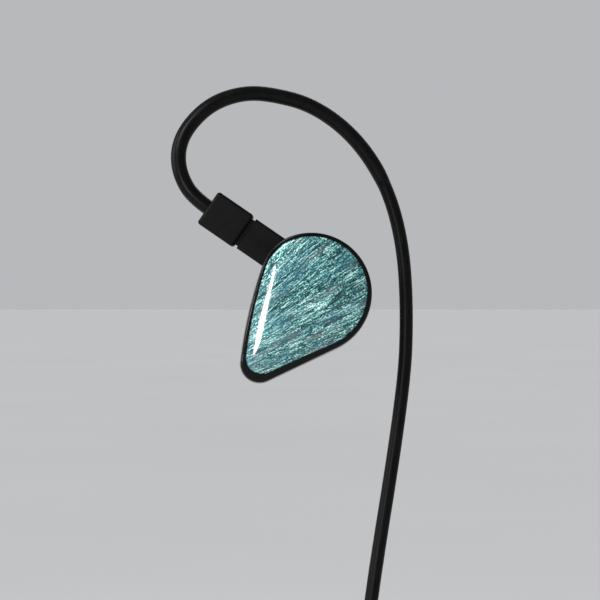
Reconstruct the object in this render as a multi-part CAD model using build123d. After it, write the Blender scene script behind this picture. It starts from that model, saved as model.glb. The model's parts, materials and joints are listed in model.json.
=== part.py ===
from build123d import *

import math
import os

# Left in-ear monitor with its two-pin cable, in millimetres.
# Drawing frame: X to the front of the face plate's right, Y into the head, Z up, with the
# face plate's rim in the plane Y = 0. Everything is written in the frame of the ear canal
# mount, whose origin is on the nozzle axis at the mouth of the ear tip.

# ---- driving dimensions: face plate and shell -------------------------------------------
SHELL_CENTRE = (0.52, 2.25)     # X, Z of the shell's large circle
SHELL_BIG_R = 9.20
SHELL_SHOULDER_R = 7.14
SHELL_TIP = (-7.74, -10.53)     # tip circle from the large circle's centre
SHELL_TIP_R = 3.02
SHELL_FLANK_R = 68.0
SHOULDER_ANGLE = 108.4          # where the large circle hands over to the shoulder
RIM_BIG = 0.76                  # how much smaller the inlay's circles are than the shell's
RIM_SHOULDER = 0.41
RIM_TIP = 0.58
RIM_FLANK = -3.0
INLAY_SHIFT = (0.01, 0.13)      # inlay's large circle from the shell's
INLAY_TIP_SHIFT = (0.28, 0.62)  # inlay's tip circle from the shell's
SHELL_WALL = 1.0
SHELL_DEPTH = 13.0              # rim to the nozzle boss
INLAY_THICK = 1.2
INLAY_PROUD = 0.35              # inlay's crown in front of the rim
INLAY_EDGE_R = 0.8
CARRIER_THICK = 1.0
LEDGE = 0.8                     # step in the shell that the carrier lies on
GLUE_GAP = 0.03                 # around pieces that are bonded in
RIM_EDGE_R = 0.25               # round on the shell's front edge
VENT_R = 0.4
VENT_XZ = (4.6, 5.4)

# ---- driving dimensions: nozzle, ear tip and driver, measured along the nozzle axis ------
NOZZLE_LEAN = 20.0              # degrees towards the front of the head
NOZZLE_RISE = 6.0               # degrees upwards
BOSS_XZ = (-0.9, -0.5)
NOZZLE_R = 2.9
NOZZLE_WALL = 0.8
NOZZLE_LIP_STEP = 0.25          # lip outside the nozzle
NOZZLE_SPIGOT_STEP = 0.3        # spigot inside the nozzle's outer size
NOZZLE_SPIGOT = 2.5             # length inside the boss
NOZZLE_FLANGE_STEP = 0.5        # flange outside the nozzle
BOSS_STEP = 0.55                # boss outside the flange
NOZZLE_FLANGE = 0.5
NOZZLE_LENGTH = 4.6
NOZZLE_LIP = 1.0
MESH_SEAT_WALL = 0.4            # nozzle wall round the mesh
MESH_THICK = 0.25
MESH_HOLE_R = 0.22
MESH_PITCH = 0.8
MESH_ROWS = 5
TIP_R = 6.1
TIP_LENGTH = 8.7
TIP_WALL = 0.6
TIP_MOUTH_STEP = 0.2            # tip's mouth outside the nozzle's bore
TIP_CORE_WALL = 0.7
TIP_LIP_R = 0.3
TIP_CLEARANCE = 0.05            # ear tip sleeve outside the nozzle lip
TIP_GAP = 0.1                   # ear tip above the nozzle flange
DRIVER_R = 4.0
DRIVER_FRONT = 3.8              # driver's front face behind the boss face
DRIVER_DEPTH = 3.4
DRIVER_GAP = 0.05
SEAT_WALL = 0.8
SEAT_LIP = 0.7                  # ledge that the driver's gasket lies on
VOICE_COIL_R = 2.12
VOICE_COIL_WALL = 0.18
MAGNET_GAP = 0.2                # voice coil to top plate and to yoke
YOKE_WALL = 0.45
GASKET = 0.2
COVER = 0.3
COVER_HOLE_R = 0.45
COVER_HOLES = 6
COVER_RING_R = 1.9              # ring of holes round the middle one
PLATE_TOP = 1.5
PLATE_THICK = 0.4
MAGNET_THICK = 0.8
MAGNET_STEP = 0.05              # magnet inside the top plate's edge
YOKE_RIM = 0.1                  # yoke's front edge before the top plate
YOKE_BASE = 0.4
FRAME_WALL = 0.4
DIAPHRAGM_TOP = 0.85
DIAPHRAGM_THICK = 0.1
SURROUND_WIDTH = 0.5
SURROUND_GAP = 0.1
COIL_PAST_PLATE = 0.8           # voice coil's reach behind the top plate's front
BOARD_R = 2.4
WIRE_D = 0.36
WIRE_SPREAD = 1.2               # wires from the middle of the terminal board

# ---- driving dimensions: two-pin connector, measured back from the plug's outer face -----
PLUG_END = (-15.15, 15.27)      # X, Z of the centre of the plug's outer face
PLUG_RISE = 34.5                # degrees above level
PLUG_DEPTH = 4.1                # Y of the connector's axis
PLUG_LENGTH = 6.5
PLUG_WIDTH = 5.8
PLUG_THICK = 4.7
PLUG_EDGE_R = 0.45
PLUG_WALL = 0.55                # beside the insert
PLUG_WALL_THICK = 0.6           # over and under the insert
NOSE_LENGTH = 1.7
NOSE_EDGE_R = 0.3
NECK = 0.6                      # dark band between plug and socket
SOCKET_WIDTH = 5.35
SOCKET_THICK = 4.3
SOCKET_LENGTH = 6.6
SOCKET_EDGE_R = 0.4
PIN_R = 0.39
PIN_PITCH = 2.1
PIN_LENGTH = 3.2                # beyond the nose
PIN_ROOT = 0.8                  # square root moulded into the nose
CONTACT_WALL = 0.3
CONTACT_LENGTH = 4.6
CONTACT_END = 0.5               # closed end of a contact
CONTACT_SINK = 0.4              # contact behind the socket's face
CONTACT_LEAD = 0.05             # entry hole round a contact's bore
SOCKET_END_GAP = 0.2
PIN_CLEARANCE = 0.03
SEAT_GAP = 0.05                 # plug nose to socket face
CORD_SINK = 1.2                 # cord let into the plug's outer face

# ---- driving dimensions: cable -------------------------------------------------------------
LEG_D = 2.1
SLEEVE_WALL = 0.1               # ear hook sleeve over a leg
MAIN_D = 2.4
CORD_FIT = 0.02                 # radial, sleeve and glands over a cord
HANK_STRAIGHT = 32.0
HANK_CENTRE = (-2.8, 9.0, -78.0)
LEG_INNER_R = 7.0               # innermost turn of a leg's hank
LEG_SLACK = 0.1                 # between a leg's turns
LEG_ROWS = 3
MAIN_INNER_R = 7.4
MAIN_ROWS = 3
MAIN_COLUMNS = 2
TIE_THICK = 0.8
TIE_WIDTH = 9.0
TIE_GAP = 0.1
TIE_CORNER_R = 3.0
SPLITTER_TOP = -139.0
SPLITTER_LENGTH = 15.0
SPLITTER_WALL = 1.35            # beside the legs
SPLITTER_FACE = 1.3             # before and behind the main cord
SPLITTER_EDGE_R = 2.2
SPLITTER_CHAMFER = 0.8
SPLITTER_CAP = 3.0
CAP_STEP = 0.3                  # cap inside the body's outline
CAP_EDGE_R = 1.9
LEG_WEB = 1.5                   # between the legs in the slider and splitter
GLAND_DEPTH = 1.5
SLIDER_LENGTH = 6.0
SLIDER_WALL = 1.05
SLIDER_FACE = 1.25
SLIDER_EDGE_R = 1.9
SLIDER_TRAVEL = 5.0
SLIDER_CLEARANCE = 0.05
SLIDER_Z = -129.0
JACK_R = 1.75
JACK_LENGTH = 14.0
JACK_TIP = 3.3
JACK_NOSE = 1.32                # part of the tip that widens
JACK_NOSE_R = 0.5
JACK_NECK_R = 1.1
JACK_RING = 2.2
JACK_INSULATOR = 0.6
JACK_CORE_R = 0.9
JACK_SKIN = 0.5                 # wall of the ring and sleeve contacts
JACK_BARREL_R = 3.1
JACK_BARREL = 15.0
JACK_BARREL_CHAMFER = 0.6
JACK_FLANGE = 0.8
JACK_FLANGE_STEP = 0.4          # flange inside the barrel
RELIEF_LENGTH = 9.0
RELIEF_R = 2.2
RELIEF_WALL = 0.35              # at the thin end
RIGHT_PLUG_FACE = (-38.0, 17.0, -112.0)
RIGHT_PLUG_RISE = 68.0          # degrees above level
RIGHT_CORD_LEAD = 4.6           # straight cord before the right plug

# ---- sizes that follow from the ones above ---------------------------------------------------
INLAY_CENTRE = (SHELL_CENTRE[0] + INLAY_SHIFT[0], SHELL_CENTRE[1] + INLAY_SHIFT[1])
INLAY_BIG_R = SHELL_BIG_R - RIM_BIG
INLAY_SHOULDER_R = SHELL_SHOULDER_R - RIM_SHOULDER
INLAY_TIP = (SHELL_TIP[0] + INLAY_TIP_SHIFT[0], SHELL_TIP[1] + INLAY_TIP_SHIFT[1])
INLAY_TIP_R = SHELL_TIP_R - RIM_TIP
INLAY_FLANK_R = SHELL_FLANK_R - RIM_FLANK
NOZZLE_BORE_R = NOZZLE_R - NOZZLE_WALL
NOZZLE_LIP_R = NOZZLE_R + NOZZLE_LIP_STEP
NOZZLE_SPIGOT_R = NOZZLE_R - NOZZLE_SPIGOT_STEP
NOZZLE_FLANGE_R = NOZZLE_R + NOZZLE_FLANGE_STEP
BOSS_R = NOZZLE_FLANGE_R + BOSS_STEP
MESH_R = NOZZLE_R - MESH_SEAT_WALL
TIP_MOUTH_R = NOZZLE_BORE_R + TIP_MOUTH_STEP
CHAMBER_R = DRIVER_R - SEAT_LIP
DIAPHRAGM_R = DRIVER_R - FRAME_WALL - SURROUND_WIDTH - SURROUND_GAP
TOP_PLATE_R = VOICE_COIL_R - MAGNET_GAP
YOKE_INNER_R = VOICE_COIL_R + VOICE_COIL_WALL + MAGNET_GAP
YOKE_R = YOKE_INNER_R + YOKE_WALL
YOKE_BACK = PLATE_TOP + PLATE_THICK + MAGNET_THICK + YOKE_BASE
NOSE_WIDTH = PLUG_WIDTH - 2 * PLUG_WALL
NOSE_THICK = PLUG_THICK - 2 * PLUG_WALL_THICK
SOCKET_START = PLUG_LENGTH + NECK
SOCKET_END = SOCKET_START + SOCKET_LENGTH
SLEEVE_D = LEG_D + 2 * SLEEVE_WALL
LEG_PITCH = LEG_D + LEG_SLACK
MAIN_PITCH = MAIN_D
MAIN_HALF = MAIN_COLUMNS * MAIN_PITCH / 2
LEG_MIDDLE = MAIN_HALF + LEG_PITCH / 2      # a leg's column from the hank's middle
LEG_OUTER_R = LEG_INNER_R + (LEG_ROWS - 1) * LEG_PITCH
MAIN_OUTER_R = MAIN_INNER_R + (MAIN_ROWS - 1) * MAIN_PITCH
HANK_X, HANK_Y, HANK_Z = HANK_CENTRE
HANK_TOP = HANK_Z + HANK_STRAIGHT / 2
HANK_FOOT = HANK_Z - HANK_STRAIGHT / 2
LEG_ASIDE = LEG_MIDDLE + LEG_PITCH + LEG_SLACK  # a leg passing outside its own turns
LEG_SPACING = LEG_D + LEG_WEB
SPLITTER_X = HANK_X + LEG_INNER_R
SPLITTER_FOOT = SPLITTER_TOP - SPLITTER_LENGTH
SPLITTER_WIDTH = LEG_SPACING + LEG_D + 2 * SPLITTER_WALL
SPLITTER_THICK = MAIN_D + 2 * SPLITTER_FACE
SLIDER_WIDTH = LEG_SPACING + LEG_D + 2 * SLIDER_WALL
SLIDER_THICK = LEG_D + 2 * SLIDER_FACE
SLIDER_REACH = SLIDER_Z + SLIDER_LENGTH / 2 + SLIDER_TRAVEL     # slider's top at its highest

# ---- frames ---------------------------------------------------------------------------------
LEAN = math.radians(NOZZLE_LEAN)
RISE = math.radians(NOZZLE_RISE)
NOZZLE_AXIS = Vector(-math.sin(LEAN) * math.cos(RISE), math.cos(LEAN) * math.cos(RISE), math.sin(RISE))
BOSS = Vector(BOSS_XZ[0], SHELL_DEPTH, BOSS_XZ[1])
NOZZLE_FRAME = Plane(origin=BOSS, x_dir=(1, NOZZLE_AXIS.X / -NOZZLE_AXIS.Y, 0), z_dir=NOZZLE_AXIS)
TIP_BASE = NOZZLE_FLANGE + TIP_GAP
CANAL = BOSS + NOZZLE_AXIS * (TIP_BASE + TIP_LENGTH)
PLUG_ANGLE = math.radians(PLUG_RISE)
PLUG_AXIS = Vector(-math.cos(PLUG_ANGLE), 0, math.sin(PLUG_ANGLE))


def written(node, shape):
    """Writes one node in the frame of the ear canal mount."""
    export_step(Pos(*(-CANAL)) * shape, f"parts/{node}.step")


def circle_between(centre_a, reach_a, centre_b, reach_b):
    """The point at the two given distances from two centres, on the right of a to b."""
    across = centre_b - centre_a
    along = (reach_a**2 - reach_b**2 + across.length**2) / (2 * across.length)
    aside = math.sqrt(reach_a**2 - along**2)
    unit = across.normalized()
    return centre_a + unit * along + Vector(-unit.Y, unit.X) * aside


def angle_of(vector):
    return math.degrees(math.atan2(vector.Y, vector.X))


def teardrop(plane, big_r, shoulder_r, tip, tip_r, flank_r, scale=1.0, grow=0.0):
    """Face of four tangent arcs and a straight side, with the large circle at the origin.

    The arcs' centres are scaled, and every radius is scaled and then grown.
    """
    big, shoulder, point, flank = (r * scale + grow for r in (big_r, shoulder_r, tip_r, flank_r))
    turn = math.radians(SHOULDER_ANGLE)
    shoulder_c = Vector(math.cos(turn), math.sin(turn)) * (big - shoulder)
    tip_c = Vector(tip[0], tip[1]) * scale
    flank_c = circle_between(shoulder_c, flank - shoulder, tip_c, flank - point)
    high = angle_of(shoulder_c - flank_c) % 360
    low = angle_of(tip_c - flank_c) % 360
    side = angle_of(-tip_c) - math.degrees(math.acos((point - big) / tip_c.length))
    normal = Vector(math.cos(math.radians(side)), math.sin(math.radians(side)))
    edges = [
        CenterArc((0, 0), big, side, SHOULDER_ANGLE - side),
        CenterArc(shoulder_c, shoulder, SHOULDER_ANGLE, high - SHOULDER_ANGLE),
        CenterArc(flank_c, flank, high, low - high),
        CenterArc(tip_c, point, low, side + 360 - low),
        Line(tip_c + normal * point, normal * big),
    ]
    return plane * make_face(edges)


def front_plane(centre, depth):
    """Plane parallel to the rim, seen from the front, with its origin on a circle's centre."""
    return Plane(origin=(centre[0], depth, centre[1]), x_dir=(1, 0, 0), z_dir=(0, -1, 0))


def shell_face(plane, scale=1.0, grow=0.0):
    sizes = (SHELL_BIG_R, SHELL_SHOULDER_R, SHELL_TIP, SHELL_TIP_R, SHELL_FLANK_R)
    return teardrop(plane, *sizes, scale=scale, grow=grow)


def inlay_face(depth, grow=0.0):
    sizes = (INLAY_BIG_R, INLAY_SHOULDER_R, INLAY_TIP, INLAY_TIP_R, INLAY_FLANK_R)
    return teardrop(front_plane(INLAY_CENTRE, depth), *sizes, grow=grow)


# ---- shell -----------------------------------------------------------------------------------
def blended_plane(share, tilt):
    """Section plane a share of the way from the rim to the boss, tilted towards the boss."""
    start = Vector(SHELL_CENTRE[0], 0, SHELL_CENTRE[1])
    drift = share**1.6
    origin = Vector(
        start.X + (BOSS.X - start.X) * drift,
        SHELL_DEPTH * share,
        start.Z + (BOSS.Z - start.Z) * drift,
    )
    normal = (Vector(0, -1, 0) * (1 - tilt) - NOZZLE_AXIS * tilt).normalized()
    return Plane(origin=origin, x_dir=Vector(0, 0, 1).cross(normal), z_dir=normal)


def shell_sections(wall=0.0, first=0):
    """Rim, belly, three closing sections and the boss: share, tilt, scale and growth."""
    rows = [
        (0.0, 0.0, 1.0, -0.15),
        (0.14, 0.0, 1.0, 0.0),
        (0.38, 0.05, 0.87, 0.85),
        (0.64, 0.25, 0.58, 2.0),
        (0.84, 0.6, 0.26, 3.1),
        (1.0, 1.0, 0.06, BOSS_R - 0.06 * SHELL_BIG_R),
    ]
    return [
        shell_face(blended_plane(share, tilt), scale, grow - wall)
        for share, tilt, scale, grow in rows[first:]
    ]


def nozzle_cylinder(radius, start, end):
    """Round bar on the nozzle axis between two distances from the boss face."""
    bar = Cylinder(radius, end - start, align=(Align.CENTER, Align.CENTER, Align.MIN))
    return NOZZLE_FRAME * (Pos(0, 0, start) * bar)


def nozzle_ring(outer, inner, start, end):
    return nozzle_cylinder(outer, start, end) - nozzle_cylinder(inner, start, end)


def connector_block(width, thick, start, end, edge=0.0):
    """Rectangular bar on the plug's axis between two distances back from its outer face."""
    block = Box(width, thick, end - start, align=(Align.CENTER, Align.CENTER, Align.MIN))
    if edge:
        block = fillet(block.edges().filter_by(Axis.Z), edge)
    return Pos(0, 0, start) * block


def placed_connector(shape):
    """Moves a connector drawn along Z, width on X, to its place: Z points into the shell."""
    origin = (PLUG_END[0], PLUG_DEPTH, PLUG_END[1])
    across = Vector(math.sin(PLUG_ANGLE), 0, math.cos(PLUG_ANGLE))
    return Plane(origin=origin, x_dir=across, z_dir=PLUG_AXIS * -1) * shape


def make_shell():
    outer = loft(shell_sections())
    pocket_depth = INLAY_THICK - INLAY_PROUD + CARRIER_THICK
    pocket = extrude(inlay_face(pocket_depth), amount=pocket_depth * 2)
    opening = inlay_face(pocket_depth - 0.01, -LEDGE)
    cavity = loft([opening] + shell_sections(SHELL_WALL, 2)[:-1])
    seat_end = -DRIVER_FRONT - DRIVER_DEPTH
    cavity -= nozzle_cylinder(DRIVER_R + DRIVER_GAP + SEAT_WALL, seat_end, 0)
    shell = fillet(outer.faces().sort_by(Axis.Y)[0].edges(), RIM_EDGE_R) - pocket - cavity
    shell -= nozzle_cylinder(DRIVER_R + DRIVER_GAP, seat_end - 1.0, -DRIVER_FRONT)
    chamber = Cone(CHAMBER_R, NOZZLE_BORE_R, DRIVER_FRONT - NOZZLE_SPIGOT)
    middle = -(DRIVER_FRONT + NOZZLE_SPIGOT) / 2
    shell -= NOZZLE_FRAME * (Pos(0, 0, middle) * chamber)
    shell -= nozzle_cylinder(NOZZLE_SPIGOT_R + GLUE_GAP, -NOZZLE_SPIGOT, 1)
    gap = 2 * GLUE_GAP
    socket = connector_block(
        SOCKET_WIDTH + gap, SOCKET_THICK + gap, SOCKET_START, SOCKET_END + SOCKET_END_GAP, SOCKET_EDGE_R
    )
    shell -= placed_connector(socket)
    vent = Cylinder(VENT_R, SHELL_DEPTH, align=(Align.CENTER, Align.CENTER, Align.MIN))
    return shell - Plane(origin=(VENT_XZ[0], SHELL_DEPTH / 2, VENT_XZ[1]), z_dir=(0, 1, 0)) * vent


def make_inlay():
    back = INLAY_THICK - INLAY_PROUD
    plate = extrude(inlay_face(back, -GLUE_GAP), amount=INLAY_THICK)
    front = plate.faces().sort_by(Axis.Y)[0]
    return fillet(front.edges(), INLAY_EDGE_R)


def make_carrier():
    depth = INLAY_THICK - INLAY_PROUD + CARRIER_THICK
    return extrude(inlay_face(depth, -GLUE_GAP), amount=CARRIER_THICK)


# ---- nozzle and ear tip ------------------------------------------------------------------------
def make_nozzle():
    body = nozzle_cylinder(NOZZLE_SPIGOT_R, -NOZZLE_SPIGOT, 0)
    body += nozzle_cylinder(NOZZLE_FLANGE_R, 0, NOZZLE_FLANGE)
    body += nozzle_cylinder(NOZZLE_R, NOZZLE_FLANGE, NOZZLE_LENGTH)
    body += nozzle_cylinder(NOZZLE_LIP_R, NOZZLE_LENGTH - NOZZLE_LIP, NOZZLE_LENGTH)
    body -= nozzle_cylinder(NOZZLE_BORE_R, -NOZZLE_SPIGOT, NOZZLE_LENGTH)
    return body - nozzle_cylinder(MESH_R, NOZZLE_LENGTH - MESH_THICK, NOZZLE_LENGTH)


def make_nozzle_mesh():
    disc = nozzle_cylinder(MESH_R - GLUE_GAP, NOZZLE_LENGTH - MESH_THICK, NOZZLE_LENGTH)
    hole = nozzle_cylinder(MESH_HOLE_R, NOZZLE_LENGTH - MESH_THICK, NOZZLE_LENGTH)
    for row in range(MESH_ROWS):
        for column in range(MESH_ROWS):
            across = (column - MESH_ROWS // 2) * MESH_PITCH
            up = (row - MESH_ROWS // 2) * MESH_PITCH
            place = NOZZLE_FRAME.x_dir * across + NOZZLE_FRAME.y_dir * up
            if place.length < MESH_R - MESH_PITCH:
                disc -= Pos(*place) * hole
    return disc


def make_ear_tip():
    """Silicone tip: a sleeve over the nozzle that turns over into a domed skirt."""
    sleeve = NOZZLE_LIP_R + TIP_CLEARANCE
    pocket = NOZZLE_LENGTH - TIP_BASE + 0.2
    mouth = TIP_LENGTH
    skirt = mouth * 0.2
    half = mouth * 0.68
    bore_end = (TIP_MOUTH_R, mouth - TIP_LIP_R)
    crown = (TIP_MOUTH_R + 0.8, mouth - 0.1)
    core = sleeve + TIP_CORE_WALL
    profile = [
        Polyline((sleeve, 0), (sleeve, pocket), (TIP_MOUTH_R, pocket + 0.4), bore_end),
        ThreePointArc(bore_end, (TIP_MOUTH_R + TIP_LIP_R, mouth), crown),
        ThreePointArc(crown, (TIP_R - 0.9, half), (TIP_R, skirt)),
        Line((TIP_R, skirt), (TIP_R - TIP_WALL, skirt)),
        ThreePointArc((TIP_R - TIP_WALL, skirt), (TIP_R - 1.35, half - 0.5), (core, mouth - 1.9)),
        Polyline((core, mouth - 1.9), (core, 0), (sleeve, 0)),
    ]
    section = Plane.XZ * make_face(profile)
    return NOZZLE_FRAME * (Pos(0, 0, TIP_BASE) * revolve(section, Axis.Z))


# ---- dynamic driver, from its front face backwards ---------------------------------------------
def driver_ring(outer, inner, front, back):
    """Ring or, with no inner radius, disc between two distances behind the driver's face."""
    start, end = -DRIVER_FRONT - back, -DRIVER_FRONT - front
    if inner:
        return nozzle_ring(outer, inner, start, end)
    return nozzle_cylinder(outer, start, end)


def make_front_cover():
    cover = driver_ring(DRIVER_R, 0, GASKET, GASKET + COVER)
    hole = driver_ring(COVER_HOLE_R, 0, GASKET, GASKET + COVER)
    cover -= hole
    for turn in range(COVER_HOLES):
        angle = 2 * math.pi * turn / COVER_HOLES
        place = NOZZLE_FRAME.x_dir * math.cos(angle) + NOZZLE_FRAME.y_dir * math.sin(angle)
        cover -= Pos(*(place * COVER_RING_R)) * hole
    return cover


def make_driver_frame():
    front = GASKET + COVER
    frame = driver_ring(DRIVER_R, DRIVER_R - FRAME_WALL, front, YOKE_BACK)
    return frame + driver_ring(DRIVER_R, YOKE_R, YOKE_BACK - YOKE_BASE, YOKE_BACK)


def make_yoke():
    front = PLATE_TOP - YOKE_RIM
    yoke = driver_ring(YOKE_R, 0, front, YOKE_BACK)
    return yoke - driver_ring(YOKE_INNER_R, 0, front, YOKE_BACK - YOKE_BASE)


def make_voice_coil():
    outer = VOICE_COIL_R + VOICE_COIL_WALL
    front = DIAPHRAGM_TOP + DIAPHRAGM_THICK
    return driver_ring(outer, VOICE_COIL_R, front, PLATE_TOP + COIL_PAST_PLATE)


def make_wires():
    """Two litz wires from the terminal board to the socket's contacts."""
    wires = []
    for side in (-1, 1):
        board = NOZZLE_FRAME.origin - NOZZLE_AXIS * (DRIVER_FRONT + DRIVER_DEPTH)
        start = board + NOZZLE_FRAME.x_dir * (WIRE_SPREAD * side)
        reach = SOCKET_START + CONTACT_SINK + CONTACT_LENGTH
        end = placed_connector(Pos(PIN_PITCH / 2 * side, 0, reach)).position
        points = [
            start,
            start - NOZZLE_AXIS * 1.2,
            end - PLUG_AXIS * 2.6 + Vector(0, 0.6, 0),
            end,
        ]
        wires.append(tube(points, WIRE_D)[0])
    return Compound(children=wires)


# ---- cable ----------------------------------------------------------------------------------------
STRAIGHT_ANGLE = 0.01           # degrees


def corners_of(points):
    """A route's points without those that lie on a straight run."""
    kept = [points[0]]
    for before, point, after in zip(points, points[1:], points[2:]):
        if (point - before).get_angle(after - point) > STRAIGHT_ANGLE:
            kept.append(point)
    return kept + [points[-1]]


def route_radii(points):
    """The largest tangent arc that each corner's two runs allow."""
    radii = []
    for before, corner, after in zip(points, points[1:], points[2:]):
        turn = math.radians((corner - before).get_angle(after - corner))
        run = min((corner - before).length, (after - corner).length)
        radii.append(0.45 * run / math.tan(turn / 2))
    return radii


def tube(points, diameter, bore=0.0):
    """Round tube along straight runs joined by tangent arcs, and its length and radii."""
    points = corners_of([Vector(*p) for p in points])
    radii = route_radii(points)
    path = FilletPolyline(*points, radius=radii)
    start = Plane(origin=path @ 0, z_dir=path % 0)
    section = Circle(diameter / 2)
    if bore:
        section -= Circle(bore / 2)
    return sweep(start * section, path=path), path.length, radii


def cord_node(node, points, diameter, bore=0.0):
    """Writes a cord's tube, and prints its smallest arc and its volume against its length."""
    solid, length, radii = tube(points, diameter, bore)
    area = math.pi * (diameter**2 - bore**2) / 4
    print(
        f"{node}: length {length:.1f}, radii {[round(r, 1) for r in radii]},"
        f" volume / (section x length) {solid.volume / (area * length):.4f}"
    )
    written(node, solid)
    return length


def racetrack(radius):
    """Oval face in the plane of the hank: two half turns joined by the straight runs."""
    return SlotCenterToCenter(HANK_STRAIGHT, 2 * radius, rotation=90)


def make_hank(inner, outer, front, back):
    """Ring of folded cord between two radii and two depths from the hank's middle."""
    plane = Plane(origin=Vector(*HANK_CENTRE) + Vector(0, back, 0), x_dir=(1, 0, 0), z_dir=(0, -1, 0))
    ring = racetrack(outer) - racetrack(inner)
    return extrude(plane * ring, amount=back - front)


def left_hook_route():
    """Out of the plug, up and over the ear, and down behind it."""
    start = Vector(PLUG_END[0], PLUG_DEPTH, PLUG_END[1]) - PLUG_AXIS * CORD_SINK
    return [
        start,
        (-17.42, PLUG_DEPTH, 16.7),
        (-19.54, 4.4, 20.32),
        (-19.94, 4.9, 24.05),
        (-18.64, 5.7, 27.57),
        (-15.15, 6.8, 31.31),
        (-10.49, 8.1, 33.23),
        (-6.05, 9.4, 33.33),
        (0.86, 11.1, 31.78),
        (7.4, 12.4, 27.0),
        (12.3, 13.2, 19.8),
    ]


def left_upper_route():
    return left_hook_route() + [
        (15.0, 13.3, 10.6),
        (15.7, 12.6, -0.6),
        (15.1, 11.6, -13.4),
        (HANK_X + LEG_OUTER_R + 0.05, HANK_Y - LEG_MIDDLE - 0.2, -50.5),
        (HANK_X + LEG_OUTER_R, HANK_Y - LEG_MIDDLE, HANK_TOP),
    ]


def leg_lower_route(side):
    """From the hank's right side down to the splitter, passing outside the turns."""
    y = HANK_Y + side * LEG_ASIDE
    near = HANK_Y + side * LEG_SPACING / 2
    return [
        (SPLITTER_X, HANK_Y + side * LEG_MIDDLE, HANK_FOOT + 12),
        (SPLITTER_X, y, HANK_FOOT - 1),
        (SPLITTER_X, y + side * 0.2, HANK_FOOT - 14),
        (SPLITTER_X, near, SLIDER_REACH + 6),
        (SPLITTER_X, near, SLIDER_REACH),
        (SPLITTER_X, near, SPLITTER_TOP - GLAND_DEPTH),
    ]


def main_lower_route():
    """From the splitter down, round and up into the left side of the hank."""
    y = HANK_Y - MAIN_PITCH / 2
    foot = SPLITTER_FOOT
    left = HANK_X - MAIN_OUTER_R
    middle = (SPLITTER_X + left) / 2
    return [
        (SPLITTER_X, HANK_Y, foot + GLAND_DEPTH),
        (SPLITTER_X, HANK_Y, foot - 6),
        (SPLITTER_X - 2.9, HANK_Y - 0.2, foot - 12.4),
        (middle, HANK_Y - 0.4, foot - 15.2),
        (left + 2.6, HANK_Y - 0.7, foot - 12.2),
        (left - 0.4, y + 0.2, foot - 5),
        (left - 0.9, y + 0.1, foot + 9),
        (left - 0.3, y, foot + 31),
        (left, y, HANK_FOOT + 6),
    ]


def main_end_route():
    """From the hank's right side down and outwards to the jack."""
    y = HANK_Y + MAIN_PITCH / 2
    right = HANK_X + MAIN_OUTER_R
    return [
        (right, y, HANK_FOOT + 8),
        (right, y, HANK_FOOT - 3),
        (right + 2.6, y, HANK_FOOT - 13),
        (right + 2.6, y, HANK_FOOT - 22),
    ]


RIGHT_START = (HANK_X - LEG_OUTER_R, HANK_Y + LEG_MIDDLE)
RIGHT_PLUG_ANGLE = math.radians(RIGHT_PLUG_RISE)
RIGHT_PLUG_AXIS = Vector(-math.cos(RIGHT_PLUG_ANGLE), 0, math.sin(RIGHT_PLUG_ANGLE))


def right_upper_route():
    """From the hank's left side down to where the ear hook's sleeve begins."""
    x, y = RIGHT_START
    return [
        (x, y, HANK_FOOT + 8),
        (x, y + 0.4, HANK_FOOT - 3),
        (x - 0.6, y + 2.4, HANK_FOOT - 13),
    ]


def right_hook_route():
    """The free ear hook, which keeps its curve, ending in the right plug."""
    x, y = RIGHT_START
    end = Vector(*RIGHT_PLUG_FACE)
    return [
        (x - 0.6, y + 2.4, HANK_FOOT - 13),
        (x - 2.2, y + 4.0, HANK_FOOT - 20),
        (x - 6.4, y + 4.6, HANK_FOOT - 25.4),
        (x - 12.4, y + 4.7, HANK_FOOT - 27.4),
        (x - 18.2, y + 4.65, HANK_FOOT - 26.0),
        end - RIGHT_PLUG_AXIS * RIGHT_CORD_LEAD,
        end + RIGHT_PLUG_AXIS * CORD_SINK,
    ]


def make_tie():
    """Soft strap round both sides of the hank, whose corners clear the legs' outer turns."""
    corner = TIE_CORNER_R - TIE_THICK
    room = corner - math.sqrt(2 * corner * TIE_GAP - TIE_GAP**2)
    half_x = max(MAIN_OUTER_R + MAIN_PITCH / 2 + TIE_GAP, LEG_OUTER_R + LEG_D / 2 + room)
    half_y = LEG_MIDDLE + LEG_D / 2 + TIE_GAP
    outer = RectangleRounded(2 * (half_x + TIE_THICK), 2 * (half_y + TIE_THICK), TIE_CORNER_R)
    inner = RectangleRounded(2 * half_x, 2 * half_y, corner)
    band = extrude(outer - inner, amount=TIE_WIDTH)
    return Pos(HANK_X, HANK_Y, HANK_Z - TIE_WIDTH / 2) * band


def leg_holes(radius, top, bottom):
    """The pair of upright holes that the two legs run in."""
    bar = Cylinder(radius, top - bottom, align=(Align.CENTER, Align.CENTER, Align.MIN))
    return [Pos(SPLITTER_X, HANK_Y + side * LEG_SPACING / 2, bottom) * bar for side in (-1, 1)]


def upright_block(width, thick, top, bottom, edge):
    block = Box(thick, width, top - bottom, align=(Align.CENTER, Align.CENTER, Align.MIN))
    block = fillet(block.edges().filter_by(Axis.Z), edge)
    return Pos(SPLITTER_X, HANK_Y, bottom) * block


def make_slider():
    top = SLIDER_Z + SLIDER_LENGTH / 2
    bottom = SLIDER_Z - SLIDER_LENGTH / 2
    slider = upright_block(SLIDER_WIDTH, SLIDER_THICK, top, bottom, SLIDER_EDGE_R)
    for hole in leg_holes(LEG_D / 2 + SLIDER_CLEARANCE, top, bottom):
        slider -= hole
    return slider


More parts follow.
